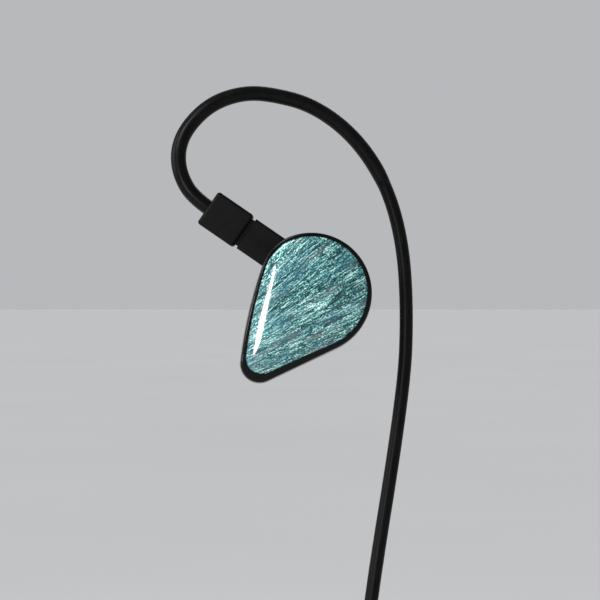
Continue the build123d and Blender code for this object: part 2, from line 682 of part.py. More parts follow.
def make_splitter_parts():
    """Body with the main cord's gland, and the cap that the two legs enter."""
    joint = SPLITTER_TOP - SPLITTER_CAP
    body = upright_block(SPLITTER_WIDTH, SPLITTER_THICK, joint, SPLITTER_FOOT, SPLITTER_EDGE_R)
    body = chamfer(body.faces().sort_by(Axis.Z)[0].edges(), SPLITTER_CHAMFER)
    gland = Cylinder(MAIN_D / 2 + CORD_FIT, GLAND_DEPTH, align=(Align.CENTER, Align.CENTER, Align.MIN))
    body -= Pos(SPLITTER_X, HANK_Y, SPLITTER_FOOT) * gland
    width = SPLITTER_WIDTH - 2 * CAP_STEP
    cap = upright_block(width, SPLITTER_THICK - 2 * CAP_STEP, SPLITTER_TOP, joint, CAP_EDGE_R)
    for hole in leg_holes(LEG_D / 2 + CORD_FIT, SPLITTER_TOP, SPLITTER_TOP - GLAND_DEPTH):
        cap -= hole
    return body, cap


# ---- two-pin plugs: drawn along Z from the outer face, width on X --------------------------------
def plug_parts():
    """Shell, insert with its nose, and the two pins."""
    shell = connector_block(PLUG_WIDTH, PLUG_THICK, 0, PLUG_LENGTH)
    shell = fillet(shell.edges(), PLUG_EDGE_R)
    pocket = connector_block(NOSE_WIDTH, NOSE_THICK, PLUG_LENGTH - NOSE_LENGTH, PLUG_LENGTH)
    entry = Cylinder(SLEEVE_D / 2 + CORD_FIT, CORD_SINK, align=(Align.CENTER, Align.CENTER, Align.MIN))
    shell = shell - pocket - entry
    nose_end = PLUG_LENGTH + NECK - SEAT_GAP
    insert = connector_block(
        NOSE_WIDTH - 2 * GLUE_GAP,
        NOSE_THICK - 2 * GLUE_GAP,
        PLUG_LENGTH - NOSE_LENGTH,
        nose_end,
        NOSE_EDGE_R,
    )
    pins = []
    for side in (-1, 1):
        place = Pos(side * PIN_PITCH / 2, 0, 0)
        root = place * connector_block(PIN_ROOT, PIN_ROOT, nose_end - NOSE_LENGTH, nose_end)
        insert -= root
        pins.append(root + place * ring_bar(PIN_R, 0, nose_end, nose_end + PIN_LENGTH))
    return shell, insert, Compound(children=pins)


def socket_parts():
    """Housing in the shell's wall and its two tubular contacts."""
    housing = connector_block(SOCKET_WIDTH, SOCKET_THICK, SOCKET_START, SOCKET_END, SOCKET_EDGE_R)
    contacts = []
    start = SOCKET_START + CONTACT_SINK
    for side in (-1, 1):
        bore = PIN_R + PIN_CLEARANCE
        outer_r = bore + CONTACT_WALL
        place = Pos(side * PIN_PITCH / 2, 0, 0)
        housing -= place * ring_bar(bore + CONTACT_LEAD, 0, SOCKET_START, start)
        housing -= place * ring_bar(outer_r, 0, start, SOCKET_END)
        contact = ring_bar(outer_r, 0, start, start + CONTACT_LENGTH)
        contact -= ring_bar(bore, 0, start, start + CONTACT_LENGTH - CONTACT_END)
        contacts.append(place * contact)
    return housing, Compound(children=contacts)


def placed_right_plug(shape):
    """The free right plug: its outer face takes the cord, and its pins point away."""
    return Plane(origin=RIGHT_PLUG_FACE, x_dir=(0, 1, 0), z_dir=RIGHT_PLUG_AXIS) * shape


# ---- jack: drawn along Z, tip down ------------------------------------------------------------------
def jack_parts():
    """3.5 mm three-pole jack with its barrel and strain relief, tip at Z = 0, on the axis."""
    base = (Align.CENTER, Align.CENTER, Align.MIN)
    nose = Cone(JACK_NOSE_R, JACK_R, JACK_NOSE, align=base)
    waist = Cone(JACK_R, JACK_NECK_R, JACK_TIP - JACK_NOSE, align=base)
    tip = nose + Pos(0, 0, JACK_NOSE) * waist
    core_end = JACK_LENGTH
    tip += ring_bar(JACK_CORE_R, 0, JACK_TIP, core_end)
    first = JACK_TIP + JACK_INSULATOR
    second = first + JACK_RING + JACK_INSULATOR
    insulators = ring_bar(JACK_R, JACK_CORE_R, JACK_TIP, first)
    insulators += ring_bar(JACK_R - JACK_SKIN, JACK_CORE_R, first, core_end)
    insulators += ring_bar(JACK_R, JACK_CORE_R, first + JACK_RING, second)
    ring = ring_bar(JACK_R, JACK_R - JACK_SKIN, first, first + JACK_RING)
    sleeve = ring_bar(JACK_R, JACK_R - JACK_SKIN, second, JACK_LENGTH)
    flange_r = JACK_BARREL_R - JACK_FLANGE_STEP
    sleeve += ring_bar(flange_r, JACK_R - JACK_SKIN, JACK_LENGTH - JACK_FLANGE, JACK_LENGTH)
    top = JACK_LENGTH + JACK_BARREL
    barrel = ring_bar(JACK_BARREL_R, 0, JACK_LENGTH, top)
    barrel = chamfer(barrel.edges().sort_by(Axis.Z)[-1], JACK_BARREL_CHAMFER)
    relief = Pos(0, 0, top) * Cone(RELIEF_R, MAIN_D / 2 + RELIEF_WALL, RELIEF_LENGTH, align=base)
    relief -= ring_bar(MAIN_D / 2 + CORD_FIT, 0, top, top + RELIEF_LENGTH)
    return {
        "jack_tip": tip,
        "jack_insulator": insulators,
        "jack_ring": ring,
        "jack_sleeve": sleeve,
        "jack_barrel": barrel,
        "jack_strain_relief": relief,
    }


def ring_bar(outer, inner, bottom, top):
    bar = Cylinder(outer, top - bottom, align=(Align.CENTER, Align.CENTER, Align.MIN))
    if inner:
        bar -= Cylinder(inner, top - bottom, align=(Align.CENTER, Align.CENTER, Align.MIN))
    return Pos(0, 0, bottom) * bar


def write_monitor():
    written("shell", make_shell())
    written("faceplate_inlay", make_inlay())
    written("faceplate_carrier", make_carrier())
    written("nozzle", make_nozzle())
    written("nozzle_mesh", make_nozzle_mesh())
    written("ear_tip", make_ear_tip())
    written("driver_gasket", driver_ring(DRIVER_R, CHAMBER_R, 0, GASKET))
    written("driver_front_cover", make_front_cover())
    written("driver_frame", make_driver_frame())
    inner = DIAPHRAGM_R + SURROUND_GAP
    outer = DRIVER_R - FRAME_WALL
    written("driver_surround", driver_ring(outer, inner, DIAPHRAGM_TOP, DIAPHRAGM_TOP + DIAPHRAGM_THICK))
    disc = driver_ring(DIAPHRAGM_R, 0, DIAPHRAGM_TOP, DIAPHRAGM_TOP + DIAPHRAGM_THICK)
    written("driver_diaphragm", disc)
    written("driver_voice_coil", make_voice_coil())
    plate_back = PLATE_TOP + PLATE_THICK
    written("driver_top_plate", driver_ring(TOP_PLATE_R, 0, PLATE_TOP, plate_back))
    magnet_r = TOP_PLATE_R - MAGNET_STEP
    written("driver_magnet", driver_ring(magnet_r, 0, plate_back, plate_back + MAGNET_THICK))
    written("driver_yoke", make_yoke())
    written("driver_terminal_board", driver_ring(BOARD_R, 0, YOKE_BACK, DRIVER_DEPTH))
    written("driver_wires", make_wires())
    housing, contacts = socket_parts()
    written("socket_housing", placed_connector(housing))
    written("socket_contacts", placed_connector(contacts))


def write_plugs():
    shell, insert, pins = plug_parts()
    for side, place in (("left", placed_connector), ("right", placed_right_plug)):
        written(f"plug_{side}_shell", place(shell))
        written(f"plug_{side}_insert", place(insert))
        written(f"plug_{side}_pins", place(pins))


def write_cable():
    bore = LEG_D + 2 * CORD_FIT
    cord_node("cord_left_upper", left_upper_route(), LEG_D)
    cord_node("ear_hook_left", left_hook_route(), SLEEVE_D, bore)
    cord_node("cord_left_lower", leg_lower_route(-1), LEG_D)
    cord_node("cord_right_lower", leg_lower_route(1), LEG_D)
    cord_node("cord_right_upper", right_upper_route() + right_hook_route()[1:], LEG_D)
    cord_node("ear_hook_right", right_hook_route(), SLEEVE_D, bore)
    cord_node("cord_main_lower", main_lower_route(), MAIN_D)
    cord_node("cord_main_end", main_end_route(), MAIN_D)
    leg = LEG_D / 2
    inner = LEG_INNER_R - leg
    outer = LEG_OUTER_R + leg
    written("hank_left", make_hank(inner, outer, -LEG_MIDDLE - leg, -MAIN_HALF))
    written("hank_right", make_hank(inner, outer, MAIN_HALF, LEG_MIDDLE + leg))
    main = MAIN_D / 2
    written("hank_main", make_hank(MAIN_INNER_R - main, MAIN_OUTER_R + main, -MAIN_HALF, MAIN_HALF))
    written("hank_tie", make_tie())
    written("chin_slider", make_slider())
    body, cap = make_splitter_parts()
    written("splitter_body", body)
    written("splitter_cap", cap)
    end = Vector(*main_end_route()[-1])
    drop = JACK_LENGTH + JACK_BARREL
    for node, shape in jack_parts().items():
        written(node, Pos(end.X, end.Y, end.Z - drop) * shape)


if __name__ == "__main__":
    os.makedirs("parts", exist_ok=True)
    write_monitor()
    write_plugs()
    write_cable()
    print("canal", CANAL, "nozzle axis", NOZZLE_AXIS, "plug axis", PLUG_AXIS)
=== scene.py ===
import json
import math

import bpy
import numpy as np
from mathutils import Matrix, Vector


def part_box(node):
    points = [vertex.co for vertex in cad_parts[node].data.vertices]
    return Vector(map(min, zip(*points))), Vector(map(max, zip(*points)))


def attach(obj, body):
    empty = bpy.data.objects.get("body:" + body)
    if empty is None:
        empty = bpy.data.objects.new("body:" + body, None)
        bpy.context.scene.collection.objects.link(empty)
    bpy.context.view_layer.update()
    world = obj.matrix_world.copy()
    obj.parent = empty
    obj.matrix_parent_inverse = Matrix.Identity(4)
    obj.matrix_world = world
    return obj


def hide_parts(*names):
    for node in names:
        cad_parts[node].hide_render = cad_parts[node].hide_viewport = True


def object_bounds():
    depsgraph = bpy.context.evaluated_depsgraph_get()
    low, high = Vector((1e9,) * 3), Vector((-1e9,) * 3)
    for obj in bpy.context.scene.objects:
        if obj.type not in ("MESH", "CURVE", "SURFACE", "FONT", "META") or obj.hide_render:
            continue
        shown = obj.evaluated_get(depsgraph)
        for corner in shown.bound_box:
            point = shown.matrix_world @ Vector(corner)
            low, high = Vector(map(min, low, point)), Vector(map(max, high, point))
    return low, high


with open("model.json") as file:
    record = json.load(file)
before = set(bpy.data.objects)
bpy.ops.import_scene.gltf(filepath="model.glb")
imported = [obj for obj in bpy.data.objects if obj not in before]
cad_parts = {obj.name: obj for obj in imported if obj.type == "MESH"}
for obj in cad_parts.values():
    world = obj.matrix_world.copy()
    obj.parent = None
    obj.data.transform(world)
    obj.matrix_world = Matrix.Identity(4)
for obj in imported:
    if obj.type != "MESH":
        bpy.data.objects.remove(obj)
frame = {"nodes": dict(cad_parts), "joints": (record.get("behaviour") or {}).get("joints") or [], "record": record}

CAD_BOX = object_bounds()
MM = 0.001

# ---- the drawing frame of the CAD routes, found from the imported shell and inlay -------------
INLAY_RIGHT = 8.94      # right edge of the inlay in the drawing, mm
INLAY_TOP = 10.79       # top edge of the inlay in the drawing, mm
DRAWING = Vector((
    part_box("faceplate_inlay")[1].x - INLAY_RIGHT * MM,
    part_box("shell")[0].y,
    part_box("faceplate_inlay")[1].z - INLAY_TOP * MM,
))
NOZZLE_AXIS = Vector(next(j["axis"] for j in frame["joints"] if j["name"] == "ear_tip_pull"))


def row(x, y, z):
    """A point of the drawing, in mm, as a point of the row frame, in metres."""
    return DRAWING + Vector((x, y, z)) * MM


# ---- material helpers -------------------------------------------------------------------------
class Material:
    """A node material with short calls for the nodes that the materials here share."""

    def __init__(self, name, **values):
        self.material = bpy.data.materials.new(name)
        self.material.use_nodes = True
        self.tree = self.material.node_tree
        self.shader = self.tree.nodes["Principled BSDF"]
        for socket, value in values.items():
            self.shader.inputs[socket.replace("_", " ")].default_value = value
        self.coords = self.tree.nodes.new("ShaderNodeTexCoord").outputs["Object"]

    def feed(self, value, socket):
        """Links a socket, or sets a constant."""
        if isinstance(value, bpy.types.NodeSocket):
            self.tree.links.new(value, socket)
        else:
            socket.default_value = value

    def math(self, operation, a, b=0.0, clamp=False):
        node = self.tree.nodes.new("ShaderNodeMath")
        node.operation = operation
        node.use_clamp = clamp
        self.feed(a, node.inputs[0])
        self.feed(b, node.inputs[1])
        return node.outputs[0]

    def combine(self, x, y, z):
        node = self.tree.nodes.new("ShaderNodeCombineXYZ")
        for value, socket in zip((x, y, z), node.inputs):
            self.feed(value, socket)
        return node.outputs[0]

    def separate(self, vector):
        node = self.tree.nodes.new("ShaderNodeSeparateXYZ")
        self.feed(vector, node.inputs[0])
        return node.outputs

    def noise(self, vector, scale, detail=2.0, rough=0.5):
        node = self.tree.nodes.new("ShaderNodeTexNoise")
        self.feed(vector, node.inputs["Vector"])
        node.inputs["Scale"].default_value = scale
        node.inputs["Detail"].default_value = detail
        node.inputs["Roughness"].default_value = rough
        return node.outputs["Fac"]

    def spread(self, value, low, high, to_low=0.0, to_high=1.0):
        node = self.tree.nodes.new("ShaderNodeMapRange")
        node.clamp = True
        self.feed(value, node.inputs["Value"])
        for name, number in (
            ("From Min", low), ("From Max", high), ("To Min", to_low), ("To Max", to_high),
        ):
            node.inputs[name].default_value = number
        return node.outputs[0]

    def ramp(self, value, *stops):
        node = self.tree.nodes.new("ShaderNodeValToRGB")
        self.feed(value, node.inputs[0])
        elements = node.color_ramp.elements
        while len(elements) < len(stops):
            elements.new(1.0)
        for element, (place, colour) in zip(elements, stops):
            element.position = place
            element.color = (*colour, 1.0)
        return node.outputs[0]

    def mix(self, share, a, b):
        node = self.tree.nodes.new("ShaderNodeMix")
        node.data_type = "RGBA"
        self.feed(share, node.inputs["Factor"])
        for value, socket in ((a, node.inputs["A"]), (b, node.inputs["B"])):
            self.feed(value if isinstance(value, bpy.types.NodeSocket) else (*value, 1.0), socket)
        return node.outputs["Result"]

    def bump(self, height, depth_mm, strength=1.0):
        node = self.tree.nodes.new("ShaderNodeBump")
        node.inputs["Strength"].default_value = strength
        node.inputs["Distance"].default_value = depth_mm * MM
        self.feed(height, node.inputs["Height"])
        self.tree.links.new(node.outputs[0], self.shader.inputs["Normal"])

    def finish(self, colour, roughness):
        self.feed(colour, self.shader.inputs["Base Color"])
        self.feed(roughness, self.shader.inputs["Roughness"])
        return self.material


def mottled(name, dark, light, rough, size_mm, grain_mm=0.0, depth_mm=0.004, **values):
    """Colour and roughness that vary softly, with an optional fine grain."""
    m = Material(name, **values)
    patch = m.noise(m.coords, 1 / (size_mm * MM), 4.0, 0.6)
    if grain_mm:
        m.bump(m.noise(m.coords, 1 / (grain_mm * MM), 2.0), depth_mm)
    colour = m.ramp(patch, (0.3, dark), (0.7, light))
    return m.finish(colour, m.spread(patch, 0.3, 0.7, rough[0], rough[1]))


def turned_metal(name, dark, light, rough, axis, pitch_mm=0.12, **values):
    """Metal with fine lathe rings across the given axis."""
    m = Material(name, Metallic=1.0, **values)
    node = m.tree.nodes.new("ShaderNodeVectorMath")
    node.operation = "DOT_PRODUCT"
    m.feed(m.coords, node.inputs[0])
    node.inputs[1].default_value = axis
    along = m.math("MULTIPLY", node.outputs["Value"], 1 / (pitch_mm * MM))
    rings = m.noise(m.combine(along, 0.0, 0.0), 1.0, 3.0, 0.7)
    patch = m.noise(m.coords, 1 / (1.5 * MM), 3.0)
    m.bump(rings, 0.004, 0.6)
    colour = m.ramp(m.math("MULTIPLY", m.math("ADD", rings, patch), 0.5), (0.3, dark), (0.7, light))
    return m.finish(colour, m.spread(rings, 0.3, 0.7, rough[0], rough[1]))


FAN_POLE = (-31.9, -19.9)       # where the inlay's fibres would meet, in the drawing, mm
FAN_REACH = 40.0                # mm, distance at which one mm across is one mm


def teal_fibre():
    """Fine fibres that fan out from below left, split into feathers, under clear lacquer, with painted shade and
    painted highlights at the feather steps and painted glints in the fine speckle.
    """
    m = Material("teal_fibre", Metallic=0.2, Coat_Weight=1.0, Coat_Roughness=0.08, Coat_IOR=1.5,
                 Specular_IOR_Level=0.3)
    pole = row(FAN_POLE[0], 0, FAN_POLE[1])
    x, _, z = m.separate(m.coords)
    dx = m.math("MULTIPLY", m.math("SUBTRACT", x, pole.x), 1 / MM)
    dz = m.math("MULTIPLY", m.math("SUBTRACT", z, pole.z), 1 / MM)
    flat = m.combine(dx, dz, 0.0)
    warp = m.math("SUBTRACT", m.noise(flat, 0.13, 1.0), 0.5)
    ripple = m.math("SUBTRACT", m.noise(flat, 1.1, 1.0), 0.5)
    across = m.math("MULTIPLY", m.math("ARCTAN2", dz, dx), FAN_REACH)
    across = m.math("ADD", across, m.math("MULTIPLY", warp, 0.8))
    across = m.math("ADD", across, m.math("MULTIPLY", ripple, 0.09))
    square = m.math("ADD", m.math("MULTIPLY", dx, dx), m.math("MULTIPLY", dz, dz))
    reach = m.math("POWER", square, 0.5)

    def streaks(along_scale, across_scale, detail, shift):
        place = m.combine(
            m.math("MULTIPLY", reach, along_scale), m.math("MULTIPLY", across, across_scale), shift
        )
        return m.noise(place, 1.0, detail, 0.6)

    def painted_feather_steps(along_scale, across_scale, shift):
        """Where long feathers end in a step: how dark the painted shade below the edge is, and how light the
        painted highlight above it.
        """
        level = streaks(along_scale, across_scale, 1.0, shift)
        shown = m.spread(streaks(0.28, 0.9, 0.0, shift + 5.0), 0.46, 0.52)
        # painted shade: a dark line just past the step that fades away from it
        below = m.math("MULTIPLY", m.math("GREATER_THAN", level, 0.5), m.spread(level, 0.5, 0.56, 1.0, 0.0))
        # painted highlight: a light band just before the step
        above = m.math("MULTIPLY", m.math("LESS_THAN", level, 0.5), m.spread(level, 0.46, 0.5))
        return m.math("MULTIPLY", below, shown), m.math("MULTIPLY", above, shown)

    tone = streaks(0.16, 0.6, 1.0, 3.7)
    bands = streaks(0.22, 2.4, 2.0, 9.1)
    threads = streaks(0.45, 6.2, 1.0, 1.3)
    # fine speckle of the fibres; its light specks are painted glints
    speckle_and_painted_glint = streaks(3.3, 5.8, 0.0, 5.9)
    tint = streaks(0.2, 0.8, 2.0, 7.7)
    blue = streaks(0.14, 0.5, 1.0, 2.9)
    # painted shade and painted highlights at the steps of long and short feathers
    long_painted_shade, long_painted_highlight = painted_feather_steps(0.13, 0.75, 14.4)
    short_painted_shade, short_painted_highlight = painted_feather_steps(0.26, 1.5, 21.6)
    light = m.math("MULTIPLY", tone, 0.5)
    light = m.math("ADD", light, m.math("MULTIPLY", bands, 1.0))
    light = m.math("ADD", light, m.math("MULTIPLY", threads, 1.5))
    # the speckle's painted glints lighten the pattern
    light = m.math("ADD", light, m.math("MULTIPLY", speckle_and_painted_glint, 1.35))
    light = m.spread(light, 1.75, 2.65)
    # the painted step highlights lighten the pattern
    light = m.math("ADD", light, m.math("MULTIPLY", m.math("MAXIMUM", long_painted_highlight, short_painted_highlight), 0.12))
    # the painted step shade darkens the pattern, down to a twentieth
    dark = m.math("MAXIMUM", long_painted_shade, m.math("MULTIPLY", short_painted_shade, 0.8))
    light = m.math("MULTIPLY", light, m.spread(dark, 0.0, 1.0, 1.0, 0.05))
    colour = m.ramp(
        light,
        (0.0, (0.001, 0.018, 0.022)),
        (0.25, (0.006, 0.06, 0.07)),
        (0.5, (0.055, 0.25, 0.25)),
        (0.75, (0.26, 0.68, 0.64)),
        (1.0, (0.85, 1.0, 0.98)),
    )
    bluer = m.mix(m.spread(blue, 0.5, 0.66, 0.0, 0.35), colour, (0.04, 0.18, 0.26))
    greyer = m.mix(m.spread(tint, 0.5, 0.68, 0.0, 0.4), bluer, (0.22, 0.27, 0.3))
    m.bump(light, 0.02, 0.25)
    return m.finish(greyer, m.spread(speckle_and_painted_glint, 0.3, 0.7, 0.6, 0.4))


def strap_weave():
    """Narrow woven strap with a soft nap."""
    m = Material("strap_weave", Sheen_Weight=0.3, Sheen_Roughness=0.5)
    x, y, z = m.separate(m.coords)
    along = m.math("ADD", x, y)
    ribs = m.math("SINE", m.math("MULTIPLY", along, 2 * math.pi / (0.7 * MM)))
    picks = m.math("SINE", m.math("MULTIPLY", z, 2 * math.pi / (0.5 * MM)))
    weave = m.math("MULTIPLY", ribs, picks)
    nap = m.noise(m.coords, 1 / (0.25 * MM), 3.0)
    m.bump(m.math("ADD", m.math("MULTIPLY", weave, 0.5), nap), 0.12, 0.7)
    colour = m.ramp(nap, (0.3, (0.008, 0.008, 0.009)), (0.7, (0.035, 0.035, 0.038)))
    return m.finish(colour, m.spread(nap, 0.3, 0.7, 0.95, 0.75))


def make_materials():
    black = dict(IOR=1.5, Specular_IOR_Level=0.22)
    dull = dict(Specular_IOR_Level=0.1)
    return {
        "gloss_black": mottled(
            "gloss_black", (0.002, 0.0022, 0.0025), (0.004, 0.0043, 0.0046), (0.1, 0.17), 3.0,
            0.5, 0.0015, **black,
        ),
        "teal_fibre": teal_fibre(),
        "black_plastic": mottled(
            "black_plastic", (0.002,) * 3, (0.0035,) * 3, (0.36, 0.46), 2.0, 0.1, **dull,
        ),
        "satin_black": mottled(
            "satin_black", (0.003, 0.003, 0.0033), (0.005, 0.005, 0.0053), (0.36, 0.46), 2.5, 0.09, **dull,
        ),
        "cable_black": mottled(
            "cable_black", (0.003, 0.003, 0.0035), (0.006, 0.006, 0.0065), (0.34, 0.44), 2.0, 0.18, **dull,
        ),
        "sleeve_black": mottled(
            "sleeve_black", (0.003,) * 3, (0.006, 0.006, 0.0065), (0.28, 0.38), 3.0, 0.3, 0.002, **dull,
        ),
        "silicone": mottled(
            "silicone", (0.02, 0.02, 0.022), (0.035, 0.035, 0.038), (0.42, 0.55), 2.5, 0.12,
            Subsurface_Weight=0.1, Subsurface_Scale=0.002,
        ),
        "gasket": mottled("gasket", (0.02,) * 3, (0.05,) * 3, (0.8, 0.95), 0.6, 0.1),
        "film": mottled("film", (0.42, 0.41, 0.36), (0.55, 0.54, 0.5), (0.25, 0.4), 1.0),
        "magnet": mottled("magnet", (0.5,) * 3, (0.68,) * 3, (0.15, 0.3), 0.8, Metallic=1.0),
        "board": mottled("board", (0.01, 0.12, 0.04), (0.02, 0.2, 0.07), (0.35, 0.5), 0.8),
        "copper": mottled("copper", (0.6, 0.24, 0.12), (0.78, 0.38, 0.2), (0.25, 0.4), 0.5, Metallic=1.0),
        "steel": mottled("steel", (0.45,) * 3, (0.6,) * 3, (0.25, 0.4), 0.8, 0.05, Metallic=1.0),
        "gold": turned_metal("gold", (0.72, 0.46, 0.14), (0.9, 0.64, 0.26), (0.12, 0.24), (0, 0, 1)),
        "nozzle_metal": turned_metal(
            "nozzle_metal", (0.42, 0.42, 0.43), (0.62, 0.62, 0.63), (0.2, 0.34), NOZZLE_AXIS,
        ),
        "strap": strap_weave(),
    }


def dress_nodes(materials):
    """Gives every CAD node the material of its slot in the record."""
    slots = {part["node"]: part["material_slot"] for part in frame["record"]["subparts"]}
    for node, piece in frame["nodes"].items():
        for slot in piece.material_slots:
            slot.material = materials[slots[node]]


# ---- face plate inlay ---------------------------------------------------------------------------
DOME_RISE = 0.78        # crown in front of the rim, mm
DOME_EDGE = 0.12        # edge behind the rim, mm
EDGE_ROUND = 0.28       # lacquer's rounded edge, mm
RINGS = 44
AROUND = 360


def outline_of(node):
    """The node's outline seen from the front, evenly spaced, as X and Z, and its middle."""
    mesh = frame["nodes"][node].data
    points = np.array([v.co[:] for v in mesh.vertices])
    back = points[points[:, 1] > points[:, 1].max() - 0.01 * MM][:, [0, 2]]
    centre = (back.min(axis=0) + back.max(axis=0)) / 2
    turn = np.arctan2(*(back - centre).T[::-1])
    _, order = np.unique(np.round(turn, 4), return_index=True)
    loop = back[order]
    loop = np.vstack([loop, loop[:1]])
    run = np.concatenate([[0], np.cumsum(np.hypot(*np.diff(loop, axis=0).T))])
    steps = np.linspace(0, run[-1], AROUND, endpoint=False)
    loop = np.column_stack([np.interp(steps, run, loop[:, i]) for i in (0, 1)])
    for _ in range(3):
        loop = (np.roll(loop, 1, axis=0) + 2 * loop + np.roll(loop, -1, axis=0)) / 4
    return loop, centre


def soft_depth(loop, points):
    """A smooth measure of how far each point lies inside the outline; near it, the distance."""
    fine = np.concatenate([loop + (np.roll(loop, -1, axis=0) - loop) * s for s in np.arange(8) / 8])
    length = np.hypot(*(np.roll(loop, -1, axis=0) - loop).T).sum() / len(fine)
    gap = np.linalg.norm(points[:, None, :] - fine[None], axis=2)
    gap = np.maximum(gap, 0.02 * MM)
    return np.sqrt(2 / (length / gap**3).sum(axis=1))


def make_inlay(material):
    """The lacquered inlay: a crowned face that falls away evenly towards its outline."""
    loop, centre = outline_of("faceplate_inlay")
    shares = 1 - np.linspace(0, 1, RINGS + 1)[:-1] ** 1.6
    rings = np.array([centre + (loop - centre) * share for share in shares])
    depth = soft_depth(loop, rings.reshape(-1, 2)).reshape(RINGS, AROUND)
    depth[0] = 0
    middle = soft_depth(loop, centre[None])[0]
    full = max(depth.max(), middle)

    def height(at):
        crown = 1 - (1 - at / full) ** 2
        edge = np.clip(at / (EDGE_ROUND * MM), 0, 1)
        return DOME_RISE * crown - DOME_EDGE * (1 - edge) ** 2

    rim = DRAWING.y
    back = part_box("faceplate_inlay")[1].y
    verts = [(x, back, z) for x, z in loop]
    for ring, at in zip(rings, depth):
        verts += [(x, rim - h * MM, z) for (x, z), h in zip(ring, height(at))]
    verts += [(centre[0], rim - height(middle) * MM, centre[1]), (centre[0], back, centre[1])]
    front_pole, back_pole = len(verts) - 2, len(verts) - 1
    faces = []
    for ring in range(RINGS):
        for i in range(AROUND):
            j = (i + 1) % AROUND
            here, there = ring * AROUND, (ring + 1) * AROUND
            faces.append((here + i, here + j, there + j, there + i))
    last = RINGS * AROUND
    for i in range(AROUND):
        j = (i + 1) % AROUND
        faces.append((last + i, last + j, front_pole))
        faces.append((j, i, back_pole))
    mesh = bpy.data.meshes.new("faceplate_dome")
    mesh.from_pydata(verts, [], faces)
    mesh.shade_smooth()
    mesh.materials.append(material)
    dome = bpy.data.objects.new("faceplate_dome", mesh)
    bpy.context.collection.objects.link(dome)
    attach(dome, "monitor")
    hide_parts("faceplate_inlay")


# ---- cables: the routes repeat those of the CAD tubes, in the drawing's millimetres -----------
PLUG_DEPTH = 4.1
PLUG_ANGLE = math.radians(34.5)
CORD_SINK = 1.2
LEG_D, MAIN_D = 2.1, 2.4
SLEEVE_WALL = 0.1       # ear hook sleeve over a leg
LEG_SLACK = 0.1         # between two turns of a leg
LEG_WEB = 1.5           # between the legs in the splitter and the slider
LEG_INNER_R, MAIN_INNER_R = 7.0, 7.4    # tightest turns in the hank
TURNS_OUT = (2, 1, 0)   # turns of one column, from the outermost
SLEEVE_D = LEG_D + 2 * SLEEVE_WALL
LEG_PITCH = LEG_D + LEG_SLACK
LEG_OUTER_R = LEG_INNER_R + TURNS_OUT[0] * LEG_PITCH
MAIN_OUTER_R = MAIN_INNER_R + TURNS_OUT[0] * MAIN_D
HANK_X, HANK_Y, HANK_Z = -2.8, 9.0, -78.0
HANK_STRAIGHT = 32.0
HANK_TOP = HANK_Z + HANK_STRAIGHT / 2
HANK_FOOT = HANK_Z - HANK_STRAIGHT / 2
LEG_MIDDLE = MAIN_D + LEG_PITCH / 2     # a leg's column from the hank's middle
LEG_CELLS = [(LEG_INNER_R + turn * LEG_PITCH, LEG_MIDDLE) for turn in TURNS_OUT]
MAIN_HALF = MAIN_D / 2                  # a main cord's column from the hank's middle
MAIN_RADII = [MAIN_INNER_R + turn * MAIN_D for turn in TURNS_OUT]
MAIN_CELLS = [(radius, -MAIN_HALF) for radius in MAIN_RADII]
MAIN_CELLS += [(radius, MAIN_HALF) for radius in MAIN_RADII[::-1]]
LEG_SPACING = LEG_D + LEG_WEB
LEG_ASIDE = LEG_MIDDLE + LEG_PITCH + LEG_SLACK
SPLITTER_X = HANK_X + LEG_INNER_R
SPLITTER_TOP = -139.0
SPLITTER_FOOT = -154.0
GLAND_DEPTH = 1.5
SLIDER_TOP = -126.0 + 5.0
ARC_STEPS = 6           # control points in each half turn of the hank


def plug_point(back):
    """A point on the left plug's axis, a distance outwards from its outer face."""
    return (-15.15 - math.cos(PLUG_ANGLE) * back, PLUG_DEPTH, 15.27 + math.sin(PLUG_ANGLE) * back)


def left_hook_route():
    return [
        plug_point(-CORD_SINK),
        (-17.42, PLUG_DEPTH, 16.7), (-19.54, 4.4, 20.32), (-19.94, 4.9, 24.05), (-18.64, 5.7, 27.57),
        (-15.15, 6.8, 31.31), (-10.49, 8.1, 33.23), (-6.05, 9.4, 33.33), (0.86, 11.1, 31.78),
        (7.4, 12.4, 27.0), (12.3, 13.2, 19.8),
    ]


def left_upper_route():
    return left_hook_route() + [
        (15.0, 13.3, 10.6), (15.7, 12.6, -0.6), (15.1, 11.6, -13.4),
        (HANK_X + LEG_OUTER_R + 0.05, HANK_Y - LEG_MIDDLE - 0.2, -50.5),
        (HANK_X + LEG_OUTER_R, HANK_Y - LEG_MIDDLE, HANK_TOP),
    ]


def leg_lower_route(side):
    y = HANK_Y + side * LEG_ASIDE
    near = HANK_Y + side * LEG_SPACING / 2
    return [
        (SPLITTER_X, HANK_Y + side * LEG_MIDDLE, HANK_FOOT + 12),
        (SPLITTER_X, y, HANK_FOOT - 1),
        (SPLITTER_X, y + side * 0.2, HANK_FOOT - 14),
        (SPLITTER_X, near, SLIDER_TOP + 6),
        (SPLITTER_X, near, SLIDER_TOP),
        (SPLITTER_X, near, SPLITTER_TOP - GLAND_DEPTH),
    ]


def main_lower_route():
    y = HANK_Y - MAIN_HALF
    foot = SPLITTER_FOOT
    left = HANK_X - MAIN_OUTER_R
    return [
        (SPLITTER_X, HANK_Y, foot + GLAND_DEPTH), (SPLITTER_X, HANK_Y, foot - 6),
        (SPLITTER_X - 2.9, HANK_Y - 0.2, foot - 12.4),
        ((SPLITTER_X + left) / 2, HANK_Y - 0.4, foot - 15.2),
        (left + 2.6, HANK_Y - 0.7, foot - 12.2), (left - 0.4, y + 0.2, foot - 5),
        (left - 0.9, y + 0.1, foot + 9), (left - 0.3, y, foot + 31), (left, y, HANK_FOOT + 6),
    ]


